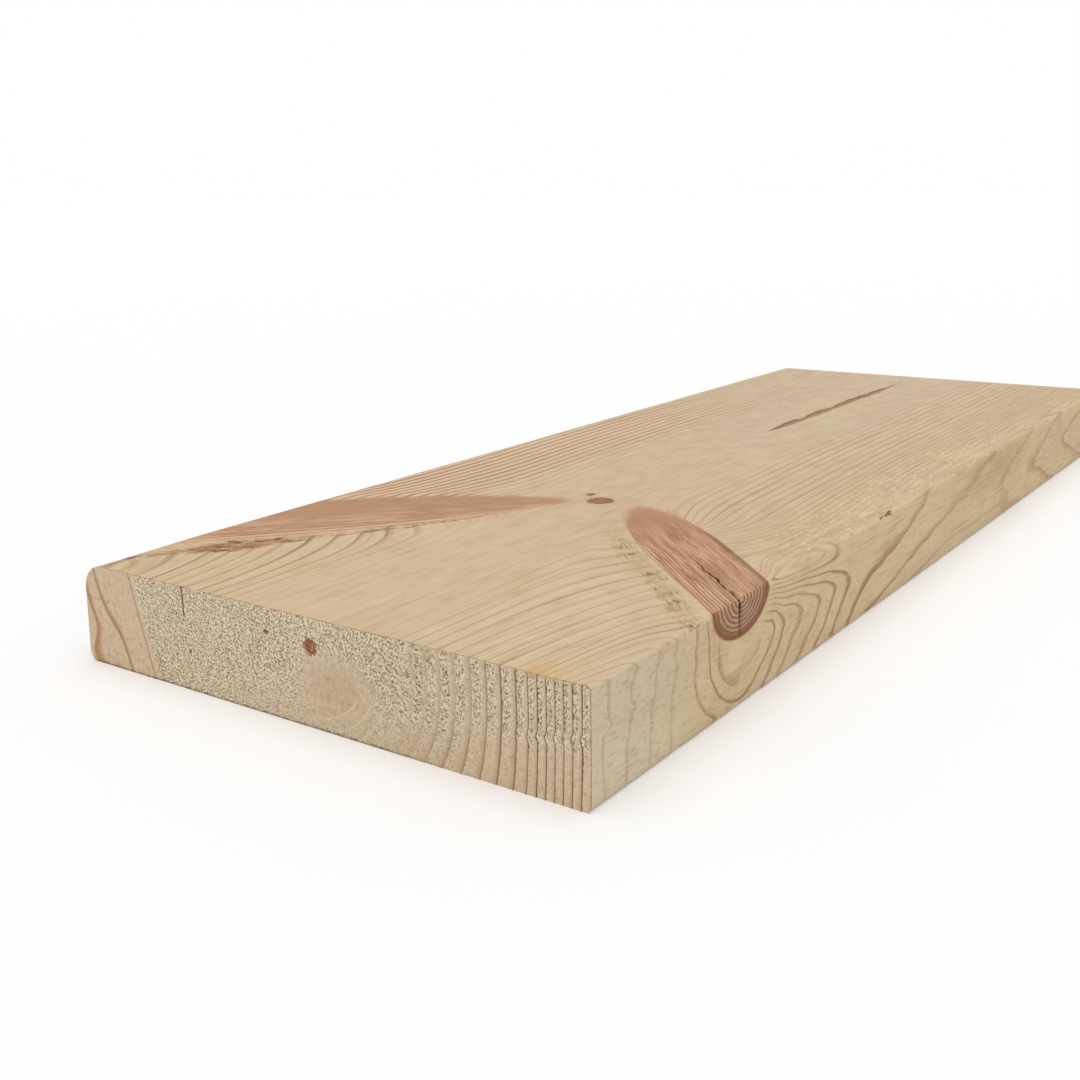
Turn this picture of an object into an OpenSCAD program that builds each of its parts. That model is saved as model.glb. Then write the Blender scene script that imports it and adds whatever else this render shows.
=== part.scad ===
// Sawn softwood plank with a boxed heart, lying flat.
// The length runs along Y with the near end at -Y, the width along X, and Z is up from the underside.

/* [Board] */
// Width across the board, edge to edge
board_w = 225; // [150:1:300]
// Thickness of the board
board_t = 38; // [32:1:75]
// Length the board is cut to
board_l = 600; // [450:10:3000]

/* [Long arrises] */
// Radius of the upper left arris, rounded most
upper_left_r = 9; // [1:0.5:12]
// Radius of the lower left arris
lower_left_r = 4; // [0.5:0.5:12]
// Radius of the upper right arris, nearly sharp
upper_right_r = 1.5; // [0.5:0.5:8]
// Radius of the lower right arris
lower_right_r = 2; // [0.5:0.5:12]

/* [Drying check in the spike knot] */
// Distance of the check's mouth on the right edge from the near end
knot_check_from_end = 90; // [60:1:300]
// Angle between the branch and a line square across the board
knot_check_angle = 43; // [20:1:60]
// Length of the check on the upper face
knot_check_l = 57; // [20:1:90]
// Opening of the check at its mouth
knot_check_w = 1.4; // [0.4:0.1:3]
// Depth of the check down the right edge
knot_check_depth = 13.5; // [4:0.5:20]

/* [Drying check in the near end] */
// Distance of the check from the left edge
end_check_from_left = 56.5; // [20:0.5:100]
// Height of the check, down from the upper face
end_check_drop = 11; // [4:0.5:25]
// Opening of the check on the end
end_check_w = 0.9; // [0.4:0.1:3]
// Length of the check into the board
end_check_run = 9; // [3:0.5:30]

/* [Pith] */
// Distance of the pith from the left edge, on the near end
pith_from_left = 118; // [40:0.5:140]
// Distance of the pith below the upper face, on the near end
pith_below_top = 9.7; // [6:0.1:20]
// Diameter of the hollow that the soft pith leaves in the near end
pith_hollow_d = 5; // [2:0.5:8]
// Depth of that hollow
pith_hollow_depth = 1.2; // [0.4:0.1:2]
// Distance from the near end to where the pith surfaces on the upper face
pith_groove_from_end = 356; // [200:1:360]
// Length of the groove where the pith lies open
pith_groove_l = 218; // [40:1:230]
// Distance of the groove from the left edge
pith_groove_from_left = 103.5; // [40:0.5:140]
// Widest part of the groove
pith_groove_w = 6; // [2:0.5:10]
// Depth of the groove
pith_groove_depth = 0.8; // [0.3:0.1:2]

/* [Bark pocket] */
// Distance of the pocket on the upper right arris from the near end
bark_pocket_from_end = 223; // [150:1:380]
// Length of the pocket along the arris
bark_pocket_l = 14; // [6:1:30]
// Depth of the pocket, square to the arris
bark_pocket_depth = 1.6; // [0.5:0.1:3]

/* [Hidden] */
$fn = 96;

left_x = -board_w / 2;
right_x = board_w / 2;
near_y = -board_l / 2;
// How far each cut runs past the face that it opens through
overrun = 1;
// Steps along each side of the pith groove's outline, and how its width swells and pinches
groove_steps = 24;
groove_fullness = 0.6;
groove_swell = 0.15;
groove_swells = 5;

// Radius of the ball that cuts a dish with a given mouth and depth
function dish_r(mouth, depth) = (mouth * mouth / 4 + depth * depth) / (2 * depth);

// Half the groove's width at a share t of its length
function groove_half(t) = pith_groove_w / 2 * pow(sin(180 * t), groove_fullness)
    * (1 - groove_swell * (1 + sin(360 * groove_swells * t)) / 2);

// What rounding takes off one corner of the section, for a corner at the origin of the first quadrant
module corner_waste(r) {
    difference() {
        translate([-overrun, -overrun]) square(r + overrun);
        translate([r, r]) circle(r);
    }
}

// Sawn section, seen from the near end with the upper face up
module section() {
    difference() {
        translate([left_x, 0]) square([board_w, board_t]);
        translate([left_x, board_t]) mirror([0, 1]) corner_waste(upper_left_r);
        translate([left_x, 0]) corner_waste(lower_left_r);
        translate([right_x, board_t]) mirror([1, 0]) mirror([0, 1]) corner_waste(upper_right_r);
        translate([right_x, 0]) mirror([1, 0]) corner_waste(lower_right_r);
    }
}

// Wedge that opens at the right edge and closes towards the heart, along the branch
module knot_check() {
    rise = knot_check_depth / knot_check_l;
    // The wedge starts far enough outside the edge to clear it at a slant
    lead = overrun + knot_check_w;
    lip = 2 * lead * rise + overrun;
    full_depth = knot_check_depth + lead * rise;
    spread = knot_check_w / 2 / knot_check_depth;
    length = knot_check_l + 2 * lead;
    translate([right_x, near_y + knot_check_from_end, board_t])
        rotate([0, 0, 180 - knot_check_angle])
            translate([-lead, 0, -full_depth])
                rotate([0, -atan(rise), 0])
                    rotate([90, 0, 90])
                        linear_extrude(length)
                            polygon([
                                [0, 0],
                                [(full_depth + lip) * spread, full_depth + lip],
                                [-(full_depth + lip) * spread, full_depth + lip]
                            ]);
}

// Wedge that opens on the near end, down from the upper face
module end_check() {
    flare = end_check_w / 2 * (1 + overrun / end_check_run);
    translate([left_x + end_check_from_left, near_y, board_t - end_check_drop])
        linear_extrude(end_check_drop + overrun)
            polygon([[0, end_check_run], [-flare, -overrun], [flare, -overrun]]);
}

// Dish where the soft pith has crumbled out of the near end
module pith_hollow() {
    r = dish_r(pith_hollow_d, pith_hollow_depth);
    translate([left_x + pith_from_left, near_y - r + pith_hollow_depth, board_t - pith_below_top])
        sphere(r);
}

// Long lens where the saw has laid the pith open on the upper face
module pith_groove() {
    side = [for (i = [0 : groove_steps]) i / groove_steps];
    right_side = [for (t = side) [groove_half(t), t * pith_groove_l]];
    left_side = [for (i = [groove_steps - 1 : -1 : 1]) [-groove_half(side[i]), side[i] * pith_groove_l]];
    translate([left_x + pith_groove_from_left, near_y + pith_groove_from_end, board_t - pith_groove_depth])
        linear_extrude(pith_groove_depth + overrun)
            polygon(concat(right_side, left_side));
}

// Dish across the upper right arris where a pocket of bark has come away
module bark_pocket() {
    r = dish_r(bark_pocket_l, bark_pocket_depth);
    // The rounded arris lies this far inside the sharp corner, along the diagonal
    arris_in = upper_right_r * (sqrt(2) - 1);
    out = (r - bark_pocket_depth - arris_in) / sqrt(2);
    translate([right_x + out, near_y + bark_pocket_from_end, board_t + out])
        sphere(r);
}

module plank() {
    color("burlywood")
        difference() {
            translate([0, -near_y, 0]) rotate([90, 0, 0]) linear_extrude(board_l) section();
            knot_check();
            end_check();
            pith_hollow();
            pith_groove();
            bark_pocket();
        }
}

plank();
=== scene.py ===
import math
import bmesh
import bpy
from mathutils import Matrix, Vector, noise


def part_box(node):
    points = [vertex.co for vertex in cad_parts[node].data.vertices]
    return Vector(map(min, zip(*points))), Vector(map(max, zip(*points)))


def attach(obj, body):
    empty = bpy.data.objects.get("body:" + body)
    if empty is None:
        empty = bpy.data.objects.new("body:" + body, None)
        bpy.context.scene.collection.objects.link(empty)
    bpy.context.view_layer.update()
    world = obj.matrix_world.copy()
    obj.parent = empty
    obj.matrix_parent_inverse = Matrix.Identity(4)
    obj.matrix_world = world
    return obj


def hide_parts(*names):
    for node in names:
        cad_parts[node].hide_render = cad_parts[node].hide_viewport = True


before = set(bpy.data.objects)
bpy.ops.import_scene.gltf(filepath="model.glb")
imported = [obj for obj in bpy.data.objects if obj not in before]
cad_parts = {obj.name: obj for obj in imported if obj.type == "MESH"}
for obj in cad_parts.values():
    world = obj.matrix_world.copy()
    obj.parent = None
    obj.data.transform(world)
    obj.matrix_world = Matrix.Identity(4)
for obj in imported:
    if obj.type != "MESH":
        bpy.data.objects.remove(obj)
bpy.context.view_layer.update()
print("frame loaded:", list(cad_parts))

# Places on the board are in millimetres: x across from the middle, s along from the near end, z up from below
mm = 0.001
lowCorner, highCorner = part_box("plank")
boardWidth = (highCorner[0] - lowCorner[0]) / mm
boardLength = (highCorner[1] - lowCorner[1]) / mm
boardDepth = (highCorner[2] - lowCorner[2]) / mm
edgeX = boardWidth / 2


def srgb(red, green, blue):
    def straight(level):
        level = level / 255
        return level / 12.92 if level <= 0.04045 else ((level + 0.055) / 1.055) ** 2.4
    return (straight(red), straight(green), straight(blue), 1.0)


class Flow:
    tree = None     # node tree that is being written

    def __init__(self, socket):
        self.socket = socket

    @classmethod
    def node(cls, kind, settings, sockets, output=0):
        made = cls.tree.nodes.new(kind)
        for name, value in settings.items():
            setattr(made, name, value)
        for key, value in sockets.items():
            if isinstance(value, Flow):
                cls.tree.links.new(value.socket, made.inputs[key])
            else:
                made.inputs[key].default_value = value
        return cls(made.outputs[output])

    @classmethod
    def math(cls, operation, *values):
        return cls.node("ShaderNodeMath", {"operation": operation}, dict(enumerate(values)))

    def __add__(self, other):
        return Flow.math("ADD", self, other)

    __radd__ = __add__

    def __sub__(self, other):
        return Flow.math("SUBTRACT", self, other)

    def __rsub__(self, other):
        return Flow.math("SUBTRACT", other, self)

    def __mul__(self, other):
        return Flow.math("MULTIPLY", self, other)

    __rmul__ = __mul__

    def __truediv__(self, other):
        return Flow.math("DIVIDE", self, other)

    def __pow__(self, other):
        return Flow.math("POWER", self, other)


# The same maths serves shader sockets and plain numbers, so that the mesh's relief follows the grain
def either(operation, plainWay, *values):
    if any(isinstance(value, Flow) for value in values):
        return Flow.math(operation, *values)
    return plainWay(*values)


def root(value):
    return either("SQRT", math.sqrt, value)


def raised(value):
    return either("EXPONENT", math.exp, value)


def wave(value):
    return either("SINE", math.sin, value)


def size(value):
    return either("ABSOLUTE", abs, value)


def larger(value, other):
    return either("MAXIMUM", max, value, other)


def fraction(value):
    return either("FRACT", lambda number: number % 1.0, value)


def share(value, start, stop):
    return min(max((value - start) / (stop - start), 0.0), 1.0)


def ramp(value, start, stop, low=0.0, high=1.0):
    if isinstance(value, Flow):
        return Flow.node("ShaderNodeMapRange", {"interpolation_type": "LINEAR", "clamp": True},
                         {0: value, 1: start, 2: stop, 3: low, 4: high})
    return low + share(value, start, stop) * (high - low)


def ease(value, start, stop, low=0.0, high=1.0):
    if isinstance(value, Flow):
        return Flow.node("ShaderNodeMapRange", {"interpolation_type": "SMOOTHSTEP"},
                         {0: value, 1: start, 2: stop, 3: low, 4: high})
    part = share(value, start, stop)
    return low + part * part * (3 - 2 * part) * (high - low)


def hump(value, middle, reach):
    # 1 at the middle, falling to 0 at its reach on both sides
    return ease(size(value - middle), reach, 0.0)


def vector(x, y, z):
    return Flow.node("ShaderNodeCombineXYZ", {}, {0: x, 1: y, 2: z})


def mottle(place, detail=2.0, roughness=0.5):
    return Flow.node("ShaderNodeTexNoise", {"noise_dimensions": "3D"},
                     {"Vector": place, "Scale": 1.0, "Detail": detail, "Roughness": roughness})


def tint(base, colour, amount):
    return Flow.node("ShaderNodeMix", {"data_type": "RGBA", "clamp_factor": True},
                     {0: amount, 6: base, 7: colour}, 2)


# Stem: its pith runs from the near end up to the upper face, and its rings bulge round the two spike knots
stem = {
    "nearPith": (5.6, 28.3),    # x and z of the pith on the near end
    "farPith": (-7.4, 38.3),    # x and z that it drifts to
    "drift": 380.0,             # how far along it gets there
    "ringWidth": 4.9,
    "firstRing": 5.0,
    "outerFrom": 80.0,          # past this radius the rings are narrower
    "outerWidth": 3.15,         # only on the right of the pith
}

# Spike knots: each branch runs out from its tip near the pith to one edge
rightKnot = {
    "tip": (18.3, 181.9),
    "along": (0.722, -0.692),
    "radius": 16.8,
    "blunt": (2.0, 22.0),           # how its tip rounds off
    "taper": (60.0, 125.0, 1.9),    # from where to where it thins again, and how much
    "flatten": 1.12,
    "lift": (0.30, 0.228),          # how much the inner and the outer rings bulge round it
    "farSide": (1.0, 1.0),          # how much of that shows beyond it, and how far out
    "outerSpread": (0.7, 1.45),     # how far the outer rings' bulge reaches on the near and the far side
    "start": (-14.0, 32.0),         # where along it the bulge sets in
    "ridge": (4.6, 0.052),          # where the torn ridge lies beside it: at least, and growing outwards
}
leftKnot = {
    "tip": (-22.7, 168.3),
    "along": (-0.690, -0.7235),
    "radius": 30.0,
    "blunt": (15.3, 55.0),
    "taper": (50.0, 110.0, 0.0),
    "flatten": 1.3,
    "lift": (0.30, 0.26),
    "farSide": (0.5, 0.55),
    "outerSpread": (1.0, 1.0),
    "start": (-22.0, 24.0),
    "ridge": (1.0, 0.115),
}

# Near left corner, where the rings lean and spread
leftCorner = {
    "length": 60.0,             # how far along it reaches
    "keptRing": 86.0,           # radius of the ring that keeps its place
    "spread": 0.45,
    "lean": (0.14, 0.36),       # at the edge and farther in
    "kink": 3.3,                # how far the outer ring's foot moves
}

# Right edge: slanting bands past the knot, wedges farther along, and a lean before the knot
edgeRings = {
    "bandsFrom": 180.0,
    "bandSlant": 2.8,           # how far along a band gets for each millimetre up
    "bandSpread": 22.0,         # more puts the bands farther apart
    "bandRadius": 104.2,        # radius of the first band
    "wedgeTip": (352.0, 20.0),  # s and z of the first wedge's tip
    "wedgeSlope": 3.0,          # how far along its arms get for each millimetre aside
    "wedgeSpacing": 70.0,
    "leanAt": (31.0, 45.0),     # middle and half length of the leaning stretch
    "lean": (4.3, 2.4),         # how far the rings shift there, below and above
    "tightRing": 5.0,           # how much one more ring closes under the knot
    "dent": 0.7,                # depth of the dented line
}


def branch(knot, x, s, z, plain):
    # u runs out along the branch, q across it with the far side positive, rho is the distance from its axis
    tipX, tipS = knot["tip"]
    alongX, alongS = knot["along"]
    side = 1.0 if alongX > 0 else -1.0
    acrossX, acrossS = -side * alongS, side * alongX
    u = x * alongX + s * alongS - (tipX * alongX + tipS * alongS)
    q = x * acrossX + s * acrossS - (tipX * acrossX + tipS * acrossS)
    start, rise = knot["blunt"]
    taperFrom, taperTo, taper = knot["taper"]
    radius = larger(1.0 - raised((u + start) / -rise), 0.0) * knot["radius"]
    radius = radius - ramp(u, taperFrom, taperTo, 0.0, taper)
    h = z - boardDepth
    low = h * knot["flatten"]
    rho = root(q * q + low * low)
    # Rings close round the branch below it, and stand upright farther off on the near side
    hold = h * ease(q, -45.0, -22.0, 0.0, 0.5)
    collar = root(q * q + hold * hold) * (1.0 - ease(z, -6.0, 21.0) * ease(q, 0.0, 20.0, 0.0, 0.2))
    farLift, farSpread = knot["farSide"]
    spread = ramp(plain, 30.0, 70.0, 12.0, 38.0) * ease(q, -8.0, 8.0, 1.0, farSpread)
    nearWide, farWide = knot["outerSpread"]
    outer = ease(q, -18.0, -48.0, 1.0, nearWide) * ease(q, 12.0, 45.0, 1.0, farWide) - 1.0
    spread = spread * (outer * ease(plain, 85.0, 106.0) + 1.0)
    bulge = (larger(collar - radius, 0.0) / spread) ** ramp(plain, 40.0, 62.0, 1.5, 1.0)
    bulge = raised(0.0 - bulge) * ramp(plain, 50.0, 105.0, *knot["lift"])
    bulge = bulge * ease(q, -8.0, 8.0, 1.0, farLift) * ease(u, *knot["start"])
    ridge = 0.0 - q - radius - larger(u * knot["ridge"][1], knot["ridge"][0])
    return {"u": u, "q": q, "rho": rho, "radius": radius, "collar": collar, "bulge": bulge, "ridge": ridge}


def growth(x, s, z, sway=0.0):
    # What the finish and the relief need to know about the wood at one place
    fade = ease(s, 0.0, stem["drift"], 1.0, 0.0)
    dx = x - (fade * (stem["nearPith"][0] - stem["farPith"][0]) + stem["farPith"][0])
    dz = z - (fade * (stem["nearPith"][1] - stem["farPith"][1]) + stem["farPith"][1])
    plain = root(dx * dx + dz * dz * ease(size(dx), 40.0, 100.0, 1.0, 0.12))
    right = branch(rightKnot, x, s, z, plain)
    left = branch(leftKnot, x, s, z, plain)

    # Beyond the right knot, near the upper face, the rings fan out from its flank
    farTop = ease(right["q"], -5.0, 8.0) * ramp(z, 18.0, boardDepth) ** 2.0
    u = right["u"]
    fan = ease(u, 30.0, 63.0, -8.0, 13.0) * ease(u, 108.0, 73.0) * ease(u, -30.0, 26.0)
    fan = fan * raised(larger(right["q"] - right["radius"], 0.0) / -14.0) * farTop
    lift = right["bulge"] * (1.0 - farTop) + left["bulge"]
    r = plain - plain * lift + fan + sway

    corner = ease(x, -72.0, -104.0) * raised(s * s * (-1 / leftCorner["length"] ** 2))
    lean = ease(x, -112.0, -95.0, *leftCorner["lean"])
    r = r - corner * ((r - leftCorner["keptRing"]) * leftCorner["spread"] + (z - 8.0) * lean - 2.0)
    r = r - corner * ease(x, -93.0, -101.0) * ease(z, 17.0, 2.0) * leftCorner["kink"]
    # Right edge past the knot: slanting bands, then wedges that point back from the next whorl
    edge = ease(x, 88.0, 112.0)
    slant = (s - edgeRings["bandsFrom"] - z * edgeRings["bandSlant"]) / (z + edgeRings["bandSpread"])
    rising = larger(slant, 0.0)
    most = ease(z, 12.0, 4.0) * ease(s, 430.0, 330.0) * 0.9 + 1.7
    bands = most - most * raised(rising / (0.0 - most)) + (slant - rising) * 0.6
    wedgeS, wedgeZ = edgeRings["wedgeTip"]
    off = z - wedgeZ
    arms = root(off * off + 9.0) * edgeRings["wedgeSlope"]
    bands = bands + larger(s - arms - wedgeS, 0.0) * (1 / edgeRings["wedgeSpacing"])
    past = ease(s + ramp(z, 22.0, boardDepth, 0.0, 35.0), 172.0, 222.0) * ease(x, 100.0, 112.0)
    r = r + (bands * stem["outerWidth"] + edgeRings["bandRadius"] + sway * 0.5 - r) * past
    # Before the knot the rings lean towards it as they rise
    before = hump(s, *edgeRings["leanAt"]) * ease(s, 0.0, 8.0) * ease(x, 98.0, 112.0)
    r = r - before * ramp(z, 0.0, boardDepth, *edgeRings["lean"])
    # One more ring closes tightly under the right knot
    r = r - ramp(right["collar"], 19.0, 5.0, 0.0, edgeRings["tightRing"]) * edge
    # A dented line runs through the outer rings at the near right corner
    dent = hump(z - s * 0.1 - x * 0.16, 4.0, 2.4) * ease(x, 80.0, 96.0) * ease(s, 42.0, 8.0)
    r = r + dent * edgeRings["dent"]

    count = (r - stem["firstRing"]) / stem["ringWidth"]
    narrower = (1 / stem["outerWidth"] - 1 / stem["ringWidth"]) * ease(x, 0.0, 40.0)
    count = count + larger(r - stem["outerFrom"], 0.0) * narrower
    return {"x": x, "s": s, "z": z, "r": r, "plain": plain, "dx": dx, "dz": dz, "count": count,
            "right": right, "left": left}


# Colours of the bare wood, as sRGB
woodColours = {
    "heart": srgb(214, 188, 154),
    "nearRight": srgb(218, 194, 159),
    "rightStrip": srgb(207, 182, 145),
    "far": srgb(208, 184, 154),
    "flush": srgb(206, 169, 133),       # the warm wood beyond the left knot
    "edge": srgb(221, 197, 156),
    "edgeNear": srgb(225, 212, 180),
    "edgeBrown": srgb(192, 156, 118),
    "blush": srgb(211, 177, 147),
    "straw": srgb(218, 196, 154),
    "fibreDark": srgb(186, 154, 117),
    "fibrePale": srgb(228, 208, 176),
    "lateTop": srgb(158, 119, 84),
    "lateFlush": srgb(164, 116, 86),
    "lateEdge": srgb(158, 106, 48),
    "cornerArc": srgb(190, 142, 96),
}


def bareWood(wood, fibre, patch, blotch):
    x, s = wood["x"], wood["s"]
    colour = tint(woodColours["heart"], woodColours["nearRight"], ease(x, 25.0, 70.0) * ease(s, 120.0, 60.0))
    colour = tint(colour, woodColours["far"], ease(s, 120.0, 420.0) * ease(x, 70.0, 20.0))
    colour = tint(colour, woodColours["rightStrip"], ease(x, 35.0, 95.0) * ease(s, 60.0, 190.0))
    wood["flush"] = ease(x, -46.0, -68.0) * ease(s, 110.0, 150.0) * ease(s, 480.0, 300.0)
    colour = tint(colour, woodColours["flush"], wood["flush"] * ease(patch, 0.3, 0.6, 0.5, 1.0))
    wood["onEdge"] = ease(x, 110.0, 112.0)
    edge = tint(woodColours["edge"], woodColours["edgeNear"], ease(s, 75.0, 25.0))
    edge = tint(edge, woodColours["edgeBrown"], hump(s, 375.0, 95.0) * ease(wood["z"], 12.0, 27.0) * 0.6)
    colour = tint(colour, edge, wood["onEdge"])
    colour = tint(colour, woodColours["blush"], ease(patch, 0.54, 0.72) * 0.35)
    colour = tint(colour, woodColours["straw"], ease(patch, 0.46, 0.30) * 0.4)
    colour = tint(colour, woodColours["fibreDark"], ease(blotch, 0.50, 0.72) * 0.35)
    colour = tint(colour, woodColours["fibrePale"], ease(blotch, 0.50, 0.28) * 0.35)
    # Brown arcs round the near left corner
    arc = root((x + 111.0) * (x + 111.0) + s * s * 1.4) + (blotch - 0.5) * 6.0
    arcs = hump(fraction(arc * (1 / 8.0)), 0.5, 0.36) * ease(arc, 33.0, 20.0)
    colour = tint(colour, woodColours["cornerArc"], arcs * 0.6)
    streaky = ease(wood["plain"], 15.0, 55.0, 0.35, 0.65)
    colour = tint(colour, woodColours["fibreDark"], ease(fibre, 0.50, 0.74) * streaky)
    return tint(colour, woodColours["fibrePale"], ease(fibre, 0.48, 0.26) * streaky)


def ringLines(colour, wood, patch, fibre, clear):
    # Latewood: a soft inner side and a sharp outer one
    wood["part"] = fraction(wood["count"])
    wood["year"] = fraction(wave(Flow.math("FLOOR", wood["count"]) * 12.99) * 437.5)
    part, x, s = wood["part"], wood["x"], wood["s"]
    edge, flush = wood["onEdge"], wood["flush"]
    narrow = ease(part, 0.66, 0.94) * ease(part, 1.0, 0.965)
    trimmed = part - ease(s, 100.0, 40.0, 0.0, 0.13) - ease(s, 190.0, 240.0, 0.0, 0.1)
    wide = ease(trimmed, 0.64, 0.86) * ease(part, 1.0, 0.95)
    late = narrow + (wide - narrow) * larger(edge, flush * 0.7)
    strength = ease(wood["plain"], 18.0, 62.0, 0.14, 1.0) * (wood["year"] * 0.45 + 0.6)
    strength = strength * ease(patch, 0.3, 0.6, 0.75, 1.05) * ease(fibre, 0.3, 0.55, 0.75, 1.0)
    nearLeft = ease(x, -15.0, -45.0) * ease(s, 130.0, 90.0)
    strength = strength * (flush * 0.85 + nearLeft * 0.45 + edge * 0.25 + 0.62)
    # Fainter at the far left, along the right of the upper face, and on some stretches of the right edge
    fainter = (
        ease(s, 380.0, 520.0) * ease(x, 0.0, -40.0) * 0.6,
        edge * ease(s, 190.0, 300.0) * 0.5,
        ease(x, 92.0, 104.0) * ease(s, 100.0, 130.0) * (1.0 - edge) * 0.6,
        edge * ease(s, 80.0, 50.0) * 0.5,
        edge * ease(wood["right"]["collar"], 15.0, 11.0) * 0.85,
        edge * ease(wood["z"], 31.0, 35.0) * hump(s, 150.0, 50.0) * 0.7,
    )
    for amount in fainter:
        strength = strength * (1.0 - amount)
    colour = tint(colour, woodColours["fibrePale"], hump(part, 0.35, 0.3) * flush * 0.65)
    ink = tint(woodColours["lateTop"], woodColours["lateFlush"], flush)
    ink = tint(ink, woodColours["lateEdge"], edge)
    return tint(colour, ink, late * strength * clear)


# Knot wood
knotColours = {
    "pale": srgb(216, 174, 138),
    "deep": srgb(188, 138, 104),
    "line": srgb(116, 68, 44),
    "heart": srgb(160, 100, 72),
    "rim": srgb(108, 62, 38),
    "edgeSkin": srgb(142, 92, 58),
    "edgePale": srgb(212, 186, 160),
    "edgeDeep": srgb(152, 106, 76),
    "leftPale": srgb(212, 171, 134),
    "leftDeep": srgb(180, 134, 98),
    "leftLine": srgb(138, 94, 64),
    "leftFlank": srgb(222, 186, 152),
}


def rightKnotWood(colour, wood):
    knot = wood["right"]
    u, q, rho, radius = knot["u"], knot["q"], knot["rho"], knot["radius"]
    grain = mottle(vector(q * 0.5, u * 0.035, wood["z"] * 0.5), 3.0, 0.62)
    ragged = (grain - 0.5) * ease(u, 60.0, 25.0, 0.8, 4.5)
    blur = ease(u, 34.0, 10.0, 0.5, 4.5)
    inside = ease((rho - radius + ragged) / blur, 1.0, -1.0) * ease(u, -8.0, 10.0)
    part = fraction(rho * (1 / 1.4) + grain * 1.3)
    line = ease(part, 0.48, 0.85) * ease(part, 1.0, 0.94)
    flesh = tint(knotColours["pale"], knotColours["deep"], ease(grain, 0.36, 0.62))
    core = hump(u, 40.0, 28.0) * hump(q, 3.0, 6.0)
    flesh = tint(flesh, knotColours["heart"], core * ease(grain, 0.35, 0.55))
    flesh = tint(flesh, knotColours["heart"], ease(grain, 0.52, 0.70) * 0.38)
    flesh = tint(flesh, knotColours["deep"], larger(ease(q, 2.0, 14.0) * 0.3, ease(u, 62.0, 22.0) * 0.9))
    line = line * ease(q, 0.0, -9.0, 0.42, 0.72) * ease(u, 14.0, 50.0, 0.5, 1.0)
    flesh = tint(flesh, knotColours["line"], line)
    farRim = hump(rho - radius, -1.0, 2.4) * ease(q, 3.0, 9.0) * ease(u, 34.0, 55.0)
    flesh = tint(flesh, knotColours["rim"], farRim * 0.55)
    # Where the branch is cut across on the edge it has a dark skin and pale rings
    ring = fraction(rho * (1 / 1.75) + (grain - 0.5) * 0.5)
    paler = hump(ring, 0.4, 0.36) * ease(grain, 0.3, 0.55, 0.9, 0.6)
    cut = tint(knotColours["edgeDeep"], knotColours["edgePale"], paler)
    cut = tint(cut, knotColours["edgeSkin"], ramp(radius - rho, 4.0, 1.6) * ease(grain, 0.3, 0.5, 0.75, 1.0))
    flesh = tint(flesh, cut, ease(wood["x"], 110.9, 111.9))
    return tint(colour, flesh, inside)


def leftKnotWood(colour, wood):
    knot = wood["left"]
    u, q, rho, radius = knot["u"], knot["q"], knot["rho"], knot["radius"]
    grain = mottle(vector(q * 0.3, u * 0.045, wood["z"] * 0.3), 4.0, 0.65)
    deep = radius - rho     # how far inside the flank
    ragged = deep - (grain - 0.5) * 5.0
    far = ease(q, -4.0, 6.0)
    notch = mottle(vector(wood["x"] * 0.07, wood["s"] * 0.07, 5.0), 3.0, 0.65)
    inside = ease(ragged, -4.4, -3.0) * (1.0 - far) + ease(ragged - (notch - 0.5) * 14.0, -3.0, 3.5) * far
    flesh = tint(knotColours["leftPale"], knotColours["leftDeep"], ease(grain, 0.36, 0.60))
    flesh = tint(flesh, knotColours["leftDeep"], ease(q, -14.0, 8.0) * 0.8)
    streak = mottle(vector(q * 0.75, u * 0.07, wood["z"] * 0.5), 4.0, 0.7)
    flesh = tint(flesh, knotColours["leftLine"], ease(streak, 0.50, 0.70) * ease(q, -22.0, -4.0, 0.35, 0.6))
    flesh = tint(flesh, knotColours["leftPale"], ease(streak, 0.48, 0.30) * 0.6)
    # A pale band between two thin lines runs along the near flank
    flank = deep - (grain - 0.5) * 1.6
    near = (1.0 - far) * ease(u, 12.0, 45.0)
    flesh = tint(flesh, knotColours["leftFlank"], hump(flank, -1.4, 2.8) * near * 0.85)
    line = larger(hump(flank, -3.3, 0.9), larger(hump(flank, 0.9, 0.8), hump(flank, 4.6, 0.6) * 0.6))
    flesh = tint(flesh, knotColours["leftLine"], line * near * 0.75)
    return tint(colour, flesh, inside * ease(u, -15.0, -8.0) * 0.96)


# Torn grain along the ridge on the near side of each knot
tornGrain = {
    "dark": srgb(144, 110, 66),
    "deep": srgb(112, 82, 52),
    "pale": srgb(232, 213, 177),
    "rust": srgb(186, 143, 104),
    "ridge": srgb(140, 104, 68),
    "straw": srgb(202, 172, 122),
    "strip": srgb(219, 196, 158),
    "stripLeft": srgb(212, 174, 132),
    "patch": (127.0, 30.0),     # where along the left ridge the tearing spreads, and over what length
    "patchReach": 6.0,
    "relief": 0.5,
}


def tornMask(wood, ragged=0.0):
    right, left = wood["right"], wood["left"]
    onRight = ease(size(right["ridge"] + ragged - 1.0), 6.5, 2.0) * ease(right["u"], 10.0, 34.0)
    onRight = onRight * ease(wood["z"], 36.4, 37.4)
    spread = hump(left["u"], *tornGrain["patch"]) * tornGrain["patchReach"]
    onLeft = ease(size(left["ridge"] + ragged + 1.0) - spread, 3.4, 0.6) * ease(left["u"], 8.0, 28.0)
    onLeft = onLeft * ease(wood["z"], 28.0, 36.0)
    return onRight * ease(right["q"], 0.0, -5.0), onLeft * ease(left["q"], 0.0, -5.0)


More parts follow.
